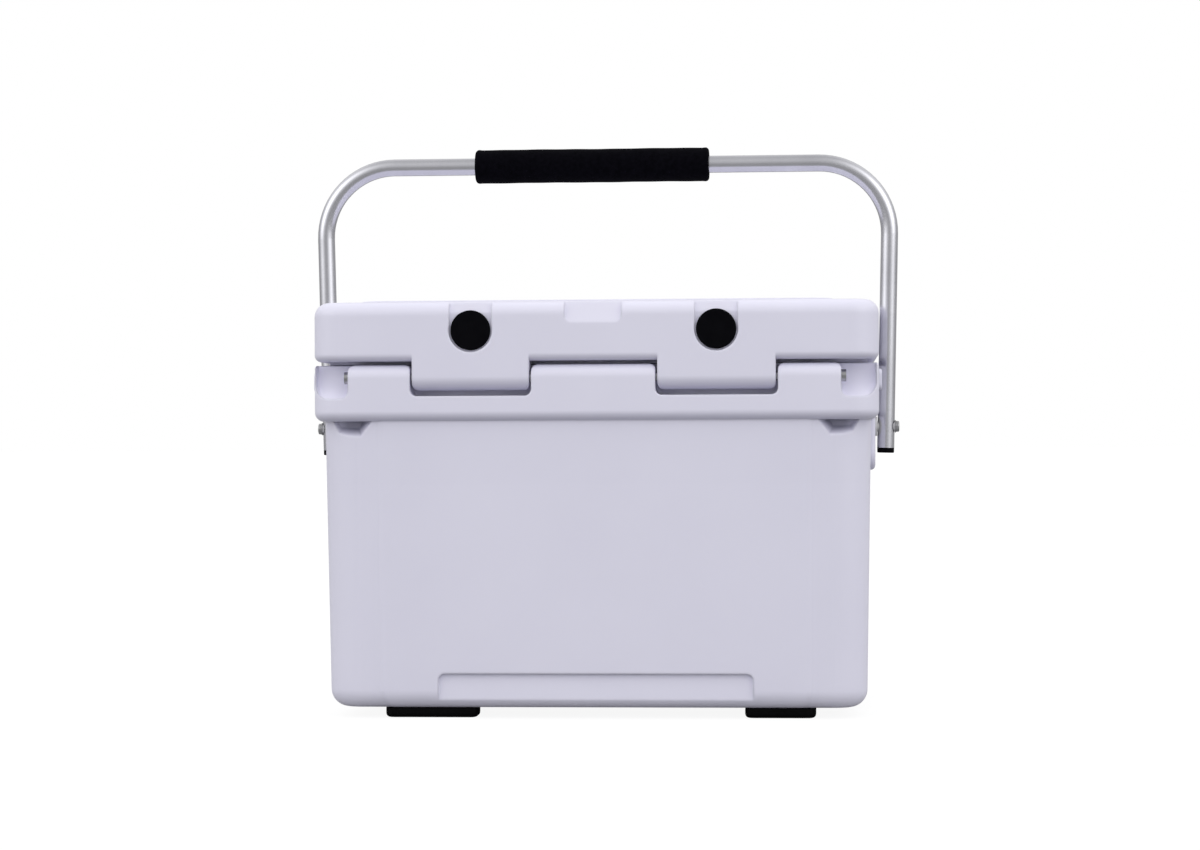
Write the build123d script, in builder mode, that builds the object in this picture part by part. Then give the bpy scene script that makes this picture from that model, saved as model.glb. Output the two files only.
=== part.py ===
from build123d import *

"""Twenty-quart rotomoulded cooler chest with a bail handle.

Millimetres. Origin on the floor under the middle of the chest, +Z up, hinge side at +Y (rear),
latch side at -Y (front), X along the width. Left is the chest's own left, at +X.
Each piece is written to parts/ as its own STEP file.
"""

import os
from math import cos, radians, sin, tan

os.makedirs("parts", exist_ok=True)

SIDES = (1, -1)  # left and right, or rear and front
OVERRUN = 2.0  # how far a cut starts outside the front or rear edge
FOAM_GAP = 0.15  # gap between a foam core and the skins round it

# ---------------------------------------------------------------- driving dimensions
# lid and rim
WIDTH, DEPTH = 483.0, 310.0
HALF_DEPTH = DEPTH / 2
CORNER_R = 24.0  # plan corner radius
RIM_BOTTOM, RIM_TOP = 254.0, 302.0
RIM_LOWER_ROUND, RIM_UPPER_ROUND = 8.0, 2.5
LID_BOTTOM, LID_TOP = 305.0, 355.8
LID_LOWER_ROUND, LID_UPPER_ROUND = 6.0, 12.0

# tub below the rim
BASE_Z = 9.0  # underside of the tub, on its feet
BASE_X, BASE_Y = 230.4, 143.6  # half width and half depth at the underside
TUB_TAPER = 1.03  # degrees per side
TUB_CORNER_R = 28.0  # plan corner radius at the underside
BASE_ROUND = 15.0  # bottom edge
TUB_LAP = 8.0  # how far the tub body runs up into the rim
WALL = 5.5  # skin thickness of the double wall

# cavity
CAVITY_X, CAVITY_Y = 190.0, 104.0  # half width and half depth at the rim
CAVITY_TAPER = 1.0
CAVITY_FLOOR = 50.0
CAVITY_CORNER_R = 26.0
CAVITY_ROUND = 16.0  # round the floor

# hinge
HINGE_Y, HINGE_Z = 144.0, 291.0  # pin axis
KNUCKLE_R = 11.0
KNUCKLE_IN, KNUCKLE_OUT = 54.5, 154.5  # X of the ends of a lid knuckle
KNUCKLE_ROUND = 5.5  # corners of the knuckles and of the recesses between them
KNUCKLE_GAP = 1.8  # between a lid knuckle and its neighbours
RECESS_IN, RECESS_OUT = KNUCKLE_IN - KNUCKLE_GAP, KNUCKLE_OUT + KNUCKLE_GAP
RECESS_Y, RECESS_BOTTOM, RECESS_TOP = 131.0, 275.3, 306.0
BOWL_IN, BOWL_OUT = 209.5, 239.0  # X of the open corner recesses at the pin heads
BOWL_Y, BOWL_BOTTOM, BOWL_TOP = 131.0, 273.5, 320.0
BOWL_R = 23.0  # sweep from the recess's floor up into its back
BOWL_IN_ROUND, BOWL_OUT_ROUND = 6.5, 12.0
PIN_R = 4.0
PIN_IN = 45.0  # inner end of a pin
PIN_HEAD_R, PIN_HEAD_H = 5.2, 4.2
SLEEVE_R = 5.5

# foam-fill plugs, in the rear edge of the lid and the underside of the tub
FILL_R, FILL_HEAD_R = 13.0, 17.0
FILL_FIT = 0.05
LID_FILL_X, LID_FILL_Z = 104.4, 331.0
FILL_POCKET_R, FILL_POCKET_DEPTH = 18.6, 3.5
TUB_FILL_SPOTS = [(-70.0, 0), (70.0, 0)]
TUB_FILL_SEAT = BASE_Z + 2.2  # Z of the inner face of the plug heads

# handle
PIVOT_Z = 248.0
TUBE_R, TUBE_BORE_R = 7.6, 6.2
LEG_X = 249.7  # centre of a leg at the pivot
SPLAY = 1.3  # degrees outwards
BAR_Z = 483.6
BEND_R = 62.5
TUBE_END_Z = 229.0
BUSH_R = 4.5
BOLT_R = 3.0
BOSS_FACE_X = 239.8
INSERT_BORE_R = 4.5

# latches
LATCH_X = 112.0
LATCH_PIN_Y, LATCH_PIN_Z = -147.5, 334.0
LATCH_PIN_R, LATCH_PIN_HALF = 2.5, 27.5
POCKET_Y = 141.0  # depth from the middle of the chest to the back of a rim pocket
KEEPER_SCREW_R = 1.48
KEEPER_HOLE_R = 1.5
KEEPER_SCREW_X, KEEPER_SCREW_Z = 17.0, 289.0  # X is from the middle of the latch

# feet
FOOT_LEFT = (102.0, 182.0)  # X of the two ends of the feet on the +X side
FOOT_RIGHT = (-187.0, -126.5)  # the same on the -X side, where they are shorter
FOOT_Y, FOOT_DEPTH = 119.0, 26.0
FOOT_SCREW_X = 18.0  # from the middle of the foot


# ---------------------------------------------------------------- shared helpers
def x_cylinder(radius, x0, x1, y, z):
    """Cylinder along X from x0 to x1."""
    with BuildPart() as cylinder:
        with BuildSketch(Plane.YZ.offset(x0)):
            with Locations((y, z)):
                Circle(radius)
        extrude(amount=x1 - x0)
    return cylinder.part


def side_cylinder(radius, side, inner, outer, y, z):
    """Cylinder along X on one side, between two distances from the middle."""
    return x_cylinder(radius, *sorted((side * inner, side * outer)), y, z)


def taper_at(z):
    """How far the tub wall stands outside its underside outline at height z."""
    return (z - BASE_Z) * tan(radians(TUB_TAPER))


def leg_x(z):
    """Centre of a handle leg at height z."""
    return LEG_X + (z - PIVOT_Z) * tan(radians(SPLAY))


def foot_screw_spots(ends, end):
    """XY of the two screws of a foot, given its X ends; end is 1 at the rear, -1 in front."""
    middle = sum(ends) / 2
    return [(middle + dx, end * FOOT_Y) for dx in (-FOOT_SCREW_X, FOOT_SCREW_X)]


ALL_FOOT_SCREWS = [
    spot
    for ends in (FOOT_LEFT, FOOT_RIGHT)
    for end in SIDES
    for spot in foot_screw_spots(ends, end)
]


def keeper_screw_spots(side):
    """XZ of the two screws of a latch keeper."""
    return [
        (side * LATCH_X + dx, KEEPER_SCREW_Z) for dx in (-KEEPER_SCREW_X, KEEPER_SCREW_X)
    ]


# ---------------------------------------------------------------- tub foam
TUB_FOAM_STEP_Z = 234.0  # top of the tapered part
TUB_FOAM_RIM_Z, TUB_FOAM_TOP = 228.0, 297.0  # the wider part inside the rim
TUB_FOAM_RIM_X, TUB_FOAM_RIM_DEPTH = 221.0, 257.0  # half width and full depth
TUB_FOAM_RIM_Y = -2.5  # its middle
TUB_FOAM_RIM_R = 16.0
TUB_FOAM_ROUND = 8.0
CAVITY_SKIN_TOP = 298.0
INSERT_PAD_R, INSERT_PAD_X, INSERT_PAD_L = 13.0, 205.0, 30.0
SCREW_PAD_R, SCREW_PAD_H = 6.0, 20.0


def tub_foam(gap):
    """The room between the two skins of the tub, made smaller all round by gap."""
    with BuildPart() as foam:
        low = BASE_Z + WALL + gap
        inset = taper_at(low) - WALL - gap
        with BuildSketch(Plane.XY.offset(low)):
            RectangleRounded(2 * (BASE_X + inset), 2 * (BASE_Y + inset), TUB_CORNER_R - WALL)
        extrude(amount=TUB_FOAM_STEP_Z - gap - low, taper=-TUB_TAPER)
        fillet(foam.edges().group_by(Axis.Z)[0], TUB_FOAM_ROUND)
        with BuildSketch(Plane.XY.offset(TUB_FOAM_RIM_Z)):
            with Locations((0, TUB_FOAM_RIM_Y)):
                RectangleRounded(
                    2 * (TUB_FOAM_RIM_X - gap), TUB_FOAM_RIM_DEPTH - 2 * gap, TUB_FOAM_RIM_R
                )
        extrude(amount=TUB_FOAM_TOP - gap - TUB_FOAM_RIM_Z)
        # room for the cavity skin
        with BuildSketch(Plane.XY.offset(CAVITY_SKIN_TOP)):
            RectangleRounded(
                2 * (CAVITY_X + WALL + gap),
                2 * (CAVITY_Y + WALL - 1.0 + gap),
                CAVITY_CORNER_R + WALL,
            )
        extrude(
            amount=-(CAVITY_SKIN_TOP - CAVITY_FLOOR + WALL + gap),
            taper=CAVITY_TAPER,
            mode=Mode.SUBTRACT,
        )
        # solid pads round the handle inserts and the foot screws
        for side in SIDES:
            with BuildSketch(Plane.YZ.offset(side * INSERT_PAD_X)):
                with Locations((0, PIVOT_Z)):
                    Circle(INSERT_PAD_R + gap)
            extrude(amount=side * INSERT_PAD_L, mode=Mode.SUBTRACT)
        with BuildSketch(Plane.XY.offset(BASE_Z)):
            with Locations(*ALL_FOOT_SCREWS):
                Circle(SCREW_PAD_R + gap)
        extrude(amount=SCREW_PAD_H + gap, mode=Mode.SUBTRACT)
    return foam.part


# ---------------------------------------------------------------- outside of the tub
PANEL_X = 188.0  # half width of the raised middle of the front and back walls
PANEL_PROUD, PANEL_CORNER_R = 1.0, 8.0

# scoops under the rim; outline (distance from the middle in X, Z)
SCOOP_TOP = RIM_BOTTOM + 4.0
SCOOP = [(196.0, SCOOP_TOP), (203.0, 248.5), (217.0, 248.5), (225.5, SCOOP_TOP)]
SCOOP_Y, SCOOP_L, SCOOP_FLARE = 136.5, 18.5, 33.0

# step along the bottom edge
STEP_X, STEP_Z, STEP_H = 134.3, 38.4, 52.0  # half width, top and height
STEP_DEPTH = 2.2  # inwards from the underside outline, at the top
STEP_TILT, STEP_ROUND, STEP_CUT = 3.6, 6.0, 12.0

# bosses that carry the handle bolts
BOSS_ROOT_X, BOSS_Y = 214.0, 26.0  # inner end, half depth
BOSS_BOTTOM, BOSS_TOP = 209.5, 265.0
BOSS_CORNER_R, BOSS_ROUND = 15.0, 4.0

# pads on the rim's sides
PAD_ROOT_X, PAD_FACE_X = 236.0, 244.1
PAD_Y, PAD_Z, PAD_DEPTH, PAD_H = 110.0, 288.0, 26.0, 18.0
PAD_CORNER_R, PAD_ROUND = 5.0, 1.6


def wall_plane(end, y, z=0.0, tilt=0.0):
    """Plane facing out of the rear (1) or front (-1), tilted upwards, its local Y up."""
    return Plane(
        origin=(0, end * y, z),
        x_dir=(-end, 0, 0),
        z_dir=(0, end * cos(radians(tilt)), sin(radians(tilt))),
    )


def tapered_block(half_x, half_y, corner_r):
    """Block from the underside up into the rim, its bottom edge rounded."""
    with BuildPart() as block:
        with BuildSketch(Plane.XY.offset(BASE_Z)):
            RectangleRounded(2 * half_x, 2 * half_y, corner_r)
        extrude(amount=RIM_BOTTOM + TUB_LAP - BASE_Z, taper=-TUB_TAPER)
        fillet(block.edges().group_by(Axis.Z)[0], BASE_ROUND)
    return block.part


def tub_body():
    """Outside of the tub below the rim."""
    with BuildPart() as body:
        add(tapered_block(BASE_X, BASE_Y, TUB_CORNER_R))
        # the middle of the front and back walls stands proud, from base to rim
        add(tapered_block(PANEL_X, BASE_Y + PANEL_PROUD, PANEL_CORNER_R))
        # scoops under the rim at the four corner columns
        for end in SIDES:
            with BuildSketch(wall_plane(end, SCOOP_Y)):
                for side in SIDES:
                    with BuildLine():
                        Polyline(*[(side * x, z) for x, z in SCOOP], close=True)
                    make_face()
            extrude(amount=SCOOP_L, taper=-SCOOP_FLARE, mode=Mode.SUBTRACT)
        # shallow step along the bottom edge, front and back, deepest along its top
        for end in SIDES:
            with BuildSketch(wall_plane(end, BASE_Y - STEP_DEPTH, STEP_Z, STEP_TILT)) as step:
                with Locations((0, -STEP_H / 2)):
                    Rectangle(2 * STEP_X, STEP_H)
                fillet(step.vertices().group_by(Axis.Y)[-1], STEP_ROUND)
            extrude(amount=STEP_CUT, mode=Mode.SUBTRACT)
    return body.part


def bosses():
    """Bosses that carry the handle bolts."""
    with BuildPart() as pair:
        for side in SIDES:
            with BuildSketch(Plane.YZ.offset(side * BOSS_ROOT_X)) as face:
                with Locations((0, (BOSS_BOTTOM + BOSS_TOP) / 2)):
                    Rectangle(2 * BOSS_Y, BOSS_TOP - BOSS_BOTTOM)
                fillet(face.vertices().group_by(Axis.Y)[0], BOSS_CORNER_R)
            extrude(amount=side * (BOSS_FACE_X - BOSS_ROOT_X))
        fillet(pair.faces().sort_by(Axis.X)[-1].edges(), BOSS_ROUND)
        fillet(pair.faces().sort_by(Axis.X)[0].edges(), BOSS_ROUND)
    return pair.part


def side_pads():
    """Low pads on the rim's sides near the rear corners."""
    with BuildPart() as pair:
        for side in SIDES:
            with BuildSketch(Plane.YZ.offset(side * PAD_ROOT_X)):
                with Locations((PAD_Y, PAD_Z)):
                    RectangleRounded(PAD_DEPTH, PAD_H, PAD_CORNER_R)
            extrude(amount=side * (PAD_FACE_X - PAD_ROOT_X))
        fillet(pair.faces().sort_by(Axis.X)[-1].edges(), PAD_ROUND)
        fillet(pair.faces().sort_by(Axis.X)[0].edges(), PAD_ROUND)
    return pair.part


# ---------------------------------------------------------------- cuts in the tub
def tub_cavity():
    with BuildPart() as cavity:
        with BuildSketch(Plane.XY.offset(RIM_TOP)):
            RectangleRounded(2 * CAVITY_X, 2 * CAVITY_Y, CAVITY_CORNER_R)
        extrude(amount=-(RIM_TOP - CAVITY_FLOOR), taper=CAVITY_TAPER)
        fillet(cavity.edges().group_by(Axis.Z)[0], CAVITY_ROUND)
    return cavity.part


def knuckle_end(x, away):
    """What is cut off the top corner of a base knuckle at x; the knuckle lies towards away."""
    radius = KNUCKLE_ROUND
    with BuildPart() as cut:
        with BuildSketch(Plane.XZ.offset(-(HALF_DEPTH + OVERRUN))):
            with Locations((x + away * (radius - 1.0) / 2, RIM_TOP - radius / 2 + 1.0)):
                Rectangle(radius + 1.0, radius + 2.0)
            with Locations((x + away * radius, RIM_TOP - radius)):
                Circle(radius, mode=Mode.SUBTRACT)
        extrude(amount=HALF_DEPTH + OVERRUN - RECESS_Y)
    return cut.part


def corner_bowl(side):
    """Open recess at a rear corner, its floor sweeping up into its back."""
    outer, inner = (-1, 0) if side > 0 else (0, -1)
    back, top = HALF_DEPTH + 4, BOWL_TOP + 2.0
    with BuildPart() as bowl:
        with BuildSketch(Plane.XZ.offset(-(HALF_DEPTH + OVERRUN))) as mouth:
            with Locations((side * (BOWL_IN + BOWL_OUT) / 2, (BOWL_BOTTOM + BOWL_TOP) / 2)):
                Rectangle(BOWL_OUT - BOWL_IN, BOWL_TOP - BOWL_BOTTOM)
            fillet(mouth.vertices().group_by(Axis.Y)[0].sort_by(Axis.X)[outer], BOWL_OUT_ROUND)
            fillet(mouth.vertices().group_by(Axis.Y)[0].sort_by(Axis.X)[inner], BOWL_IN_ROUND)
        extrude(amount=HALF_DEPTH + OVERRUN - BOWL_Y)
        with BuildSketch(Plane.YZ.offset(side * (BOWL_IN - 2.0))):
            with BuildLine():
                Line((back, top), (back, BOWL_BOTTOM))
                Line((back, BOWL_BOTTOM), (BOWL_Y + BOWL_R, BOWL_BOTTOM))
                CenterArc((BOWL_Y + BOWL_R, BOWL_BOTTOM + BOWL_R), BOWL_R, 180, 90)
                Line((BOWL_Y, BOWL_BOTTOM + BOWL_R), (BOWL_Y, top))
                Line((BOWL_Y, top), (back, top))
            make_face()
        extrude(amount=side * (BOWL_OUT - BOWL_IN + 4.0), mode=Mode.INTERSECT)
    return bowl.part


# ---------------------------------------------------------------- tub shell
FLANGE_CLEARANCE_R, FLANGE_CLEARANCE_L = 10.5, 10.0
PIN_BORE_IN, PIN_BORE_OUT = 44.0, 214.0
INSERT_BORE_X = 215.0
POCKET_WIDTH, POCKET_BOTTOM, POCKET_TOP = 48.0, 240.0, 306.0
KEEPER_HOLE_DEPTH = 9.5
UNDERSIDE_START = BASE_Z - 1  # the underside cuts start below the tub
FOOT_HOLE_R, FOOT_HOLE_L = 2.0, 14.0


def tub_shell():
    with BuildPart() as shell:
        # rim
        with BuildSketch(Plane.XY.offset(RIM_BOTTOM)):
            RectangleRounded(WIDTH, DEPTH, CORNER_R)
        extrude(amount=RIM_TOP - RIM_BOTTOM)
        fillet(shell.edges().group_by(Axis.Z)[0], RIM_LOWER_ROUND)
        fillet(shell.edges().group_by(Axis.Z)[-1], RIM_UPPER_ROUND)
        add(tub_body())
        add(bosses())
        add(side_pads())
        # hinge side: base knuckles are the rounded rear edge of the rim
        with BuildSketch(Plane.YZ.offset(-BOWL_IN)):
            with BuildLine():
                Line((HINGE_Y, RIM_TOP), (HINGE_Y, RIM_TOP + 2))
                Line((HINGE_Y, RIM_TOP + 2), (HALF_DEPTH + OVERRUN, RIM_TOP + 2))
                Line((HALF_DEPTH + OVERRUN, RIM_TOP + 2), (HALF_DEPTH + OVERRUN, HINGE_Z))
                Line((HALF_DEPTH + OVERRUN, HINGE_Z), (HALF_DEPTH, HINGE_Z))
                CenterArc((HINGE_Y, HINGE_Z), KNUCKLE_R, 0, 90)
            make_face()
        extrude(amount=2 * BOWL_IN, mode=Mode.SUBTRACT)
        for side in SIDES:
            # room for a lid knuckle
            with BuildSketch(Plane.XZ.offset(-(HALF_DEPTH + OVERRUN))) as recess:
                with Locations(
                    (side * (RECESS_IN + RECESS_OUT) / 2, (RECESS_BOTTOM + RECESS_TOP) / 2)
                ):
                    Rectangle(RECESS_OUT - RECESS_IN, RECESS_TOP - RECESS_BOTTOM)
                fillet(recess.vertices().group_by(Axis.Y)[0], KNUCKLE_ROUND)
            extrude(amount=HALF_DEPTH + OVERRUN - RECESS_Y, mode=Mode.SUBTRACT)
            # open corner recess round a pin head
            add(corner_bowl(side), mode=Mode.SUBTRACT)
            # rounded ends of the base knuckles
            add(knuckle_end(side * RECESS_IN, -side), mode=Mode.SUBTRACT)
            add(knuckle_end(side * RECESS_OUT, side), mode=Mode.SUBTRACT)
            add(knuckle_end(side * BOWL_IN, -side), mode=Mode.SUBTRACT)
            # clearance for the handle bush flange
            with BuildSketch(Plane.YZ.offset(side * BOSS_FACE_X)):
                with Locations((0, PIVOT_Z)):
                    Circle(FLANGE_CLEARANCE_R)
            extrude(amount=side * FLANGE_CLEARANCE_L, mode=Mode.SUBTRACT)
            # bore for a hinge pin through the outer knuckle and into the middle one
            add(
                side_cylinder(
                    PIN_R + 0.02, side, PIN_BORE_IN, PIN_BORE_OUT, HINGE_Y, HINGE_Z
                ),
                mode=Mode.SUBTRACT,
            )
            # bore for a threaded insert
            add(
                side_cylinder(INSERT_BORE_R, side, INSERT_BORE_X, BOSS_FACE_X + 1, 0, PIVOT_Z),
                mode=Mode.SUBTRACT,
            )
        # latch pockets in the front of the rim
        for side in SIDES:
            with BuildSketch(Plane.XZ.offset(HALF_DEPTH + OVERRUN)):
                with Locations((side * LATCH_X, (POCKET_BOTTOM + POCKET_TOP) / 2)):
                    Rectangle(POCKET_WIDTH, POCKET_TOP - POCKET_BOTTOM)
            extrude(amount=-(HALF_DEPTH + OVERRUN - POCKET_Y), mode=Mode.SUBTRACT)
            # keeper screw holes
            with BuildSketch(Plane.XZ.offset(POCKET_Y)):
                with Locations(*keeper_screw_spots(side)):
                    Circle(KEEPER_HOLE_R)
            extrude(amount=-KEEPER_HOLE_DEPTH, mode=Mode.SUBTRACT)
        add(tub_cavity(), mode=Mode.SUBTRACT)
        add(tub_foam(0.0), mode=Mode.SUBTRACT)
        # fill holes, their head recesses and foot screw holes in the underside
        with BuildSketch(Plane.XY.offset(UNDERSIDE_START)):
            with Locations(*TUB_FILL_SPOTS):
                Circle(FILL_R)
        extrude(amount=WALL + 3, mode=Mode.SUBTRACT)
        with BuildSketch(Plane.XY.offset(UNDERSIDE_START)):
            with Locations(*TUB_FILL_SPOTS):
                Circle(FILL_HEAD_R + 0.4)
        extrude(amount=TUB_FILL_SEAT - UNDERSIDE_START, mode=Mode.SUBTRACT)
        with BuildSketch(Plane.XY.offset(UNDERSIDE_START)):
            with Locations(*ALL_FOOT_SCREWS):
                Circle(FOOT_HOLE_R)
        extrude(amount=FOOT_HOLE_L, mode=Mode.SUBTRACT)
    return shell.part


TUB_PLUG_HEAD_H, TUB_PLUG_L = 2.8, 3.2


def tub_fill_plugs():
    with BuildPart() as plugs:
        with BuildSketch(Plane.XY.offset(TUB_FILL_SEAT - TUB_PLUG_HEAD_H)):
            with Locations(*TUB_FILL_SPOTS):
                Circle(FILL_HEAD_R)
        extrude(amount=TUB_PLUG_HEAD_H)
        with BuildSketch(Plane.XY.offset(TUB_FILL_SEAT)):
            with Locations(*TUB_FILL_SPOTS):
                Circle(FILL_R - FILL_FIT)
        extrude(amount=TUB_PLUG_L)
    return plugs.part


# ---------------------------------------------------------------- lid foam
# half width, half depth and plan corner radius of the main part, then of the lower part
LID_FOAM_X, LID_FOAM_Y, LID_FOAM_R = 231.0, 132.0, 14.0
LID_FOAM_LOW_X, LID_FOAM_LOW_Y, LID_FOAM_LOW_R = 178.0, 93.0, 18.0
LID_FOAM_BOTTOM, LID_FOAM_TOP = 310.0, 350.0
LID_FOAM_MIDDLE_Y, LID_FOAM_ROUND = -4.0, 8.0
LID_FOAM_LOW_Z, LID_FOAM_LOW_H = 294.5, 20.0


def lid_foam(gap):
    """The room between the skins of the lid, made smaller all round by gap."""
    with BuildPart() as foam:
        with BuildSketch(Plane.XY.offset(LID_FOAM_BOTTOM + gap)):
            with Locations((0, LID_FOAM_MIDDLE_Y)):
                RectangleRounded(2 * (LID_FOAM_X - gap), 2 * (LID_FOAM_Y - gap), LID_FOAM_R)
        extrude(amount=LID_FOAM_TOP - LID_FOAM_BOTTOM - 2 * gap)
        fillet(foam.edges().group_by(Axis.Z)[-1], LID_FOAM_ROUND)
        with BuildSketch(Plane.XY.offset(LID_FOAM_LOW_Z + gap)):
            RectangleRounded(
                2 * (LID_FOAM_LOW_X - gap), 2 * (LID_FOAM_LOW_Y - gap), LID_FOAM_LOW_R
            )
        extrude(amount=LID_FOAM_LOW_H)
    return foam.part


# ---------------------------------------------------------------- gasket and its groove
GROOVE_X, GROOVE_Y, GROOVE_R = 211.0, 121.5, 30.0  # outer half width, half depth, corner
GROOVE_WIDTH = 10.0
GROOVE_Z, GROOVE_H = 302.0, 4.0


def gasket_ring(bottom, height, fit):
    """Ring that fills the gasket groove but for fit on its inner and outer sides."""
    inset = GROOVE_WIDTH - fit
    with BuildPart() as ring:
        with BuildSketch(Plane.XY.offset(bottom)):
            RectangleRounded(2 * (GROOVE_X - fit), 2 * (GROOVE_Y - fit), GROOVE_R - fit)
            RectangleRounded(
                2 * (GROOVE_X - inset),
                2 * (GROOVE_Y - inset),
                GROOVE_R - inset,
                mode=Mode.SUBTRACT,
            )
        extrude(amount=height)
    return ring.part


# ---------------------------------------------------------------- lid
LID_CUT_LEAN = 0.40  # how far a cut in the rear edge leans in per unit of height
LID_CUT_START = -160.0  # XZ plane offset, behind the lid
LID_CUT_L = 40.0
KNUCKLE_ROOT_Z = 311.0  # top of a knuckle, inside the lid
LID_FILL_HOLE_L = 34.0

TOP_PANEL_WIDTH, TOP_PANEL_DEPTH, TOP_PANEL_R = 406.0, 270.0, 20.0
TOP_PANEL_H, TOP_PANEL_ROUND = 1.5, 1.2
SEAT_WIDTH, SEAT_DEPTH, SEAT_R = 464.0, 275.0, 17.0
SEAT_Y, SEAT_Z, SEAT_H = -9.5, 302.6, 4.0
PLUG_X, PLUG_Y, PLUG_R = 183.0, 98.0, 22.0  # half width, half depth, corner
PLUG_Z, PLUG_H, PLUG_ROUND = 289.0, 15.0, 5.0
LATCH_RECESS_WIDTH, LATCH_RECESS_Y, LATCH_RECESS_ROUND = 44.0, 138.5, 6.0
LATCH_RECESS_BOTTOM, LATCH_RECESS_TOP = 300.0, 346.0
NOTCH_HALF, NOTCH_BOTTOM, NOTCH_LEAN_Z, NOTCH_ROUND = 24.2, 330.0, 337.0, 7.0
FILL_POCKET_BOTTOM, FILL_POCKET_LEAN_Z = 310.0, 346.0


def lid_knuckle(side):
    """One of the lid's two hinge knuckles, its lower corners rounded."""
    with BuildPart() as knuckle:
        with BuildSketch(Plane.YZ.offset(side * KNUCKLE_IN)):
            with Locations((HINGE_Y, HINGE_Z)):
                Circle(KNUCKLE_R)
            with Locations((HINGE_Y, (HINGE_Z + KNUCKLE_ROOT_Z) / 2)):
                Rectangle(2 * KNUCKLE_R, KNUCKLE_ROOT_Z - HINGE_Z)
        extrude(amount=side * (KNUCKLE_OUT - KNUCKLE_IN))
        with BuildSketch(Plane.XZ.offset(LID_CUT_START)) as outline:
            with Locations((side * (KNUCKLE_IN + KNUCKLE_OUT) / 2, HINGE_Z - KNUCKLE_R + 20.0)):
                Rectangle(KNUCKLE_OUT - KNUCKLE_IN, 40.0)
            fillet(outline.vertices().group_by(Axis.Y)[0], KNUCKLE_ROUND)
        extrude(amount=LID_CUT_L, mode=Mode.INTERSECT)
    return knuckle.part


def leaning_cut(x, half_width, bottom, lean_z, depth, round_pocket):
    """Cut in the lid's rear edge, upright up to lean_z and leaning inwards above it."""
    back, front = HALF_DEPTH + 3.0, HALF_DEPTH - depth
    side_top, outline_top = 362.0, 364.0  # both above the lid
    with BuildPart() as cut:
        with BuildSketch(Plane.YZ.offset(x - half_width - 2.0)):
            with BuildLine():
                Polyline(
                    (back, bottom),
                    (back, side_top),
                    (front - (side_top - lean_z) * LID_CUT_LEAN, side_top),
                    (front, lean_z),
                    (front, bottom),
                    close=True,
                )
            make_face()
        extrude(amount=2 * half_width + 4.0)
        with BuildSketch(Plane.XZ.offset(LID_CUT_START)) as outline:
            if round_pocket:
                with Locations((x, LID_FILL_Z)):
                    Circle(FILL_POCKET_R)
                with Locations((x, (LID_FILL_Z + outline_top) / 2)):
                    Rectangle(2 * half_width, outline_top - LID_FILL_Z)
            else:
                with Locations((x, (lean_z + outline_top) / 2)):
                    Rectangle(2 * half_width, outline_top - lean_z)
                fillet(outline.vertices().group_by(Axis.Y)[0], NOTCH_ROUND)
        extrude(amount=LID_CUT_L, mode=Mode.INTERSECT)
    return cut.part


def fill_pocket(side):
    """Pocket for a fill plug, open at the top edge."""
    return leaning_cut(
        side * LID_FILL_X,
        FILL_POCKET_R - 0.5,
        FILL_POCKET_BOTTOM,
        FILL_POCKET_LEAN_Z,
        FILL_POCKET_DEPTH,
        True,
    )


def latch_pin(side, radius, half_length):
    """Cylinder on a latch pin's axis."""
    x = side * LATCH_X
    return x_cylinder(radius, x - half_length, x + half_length, LATCH_PIN_Y, LATCH_PIN_Z)


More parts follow.
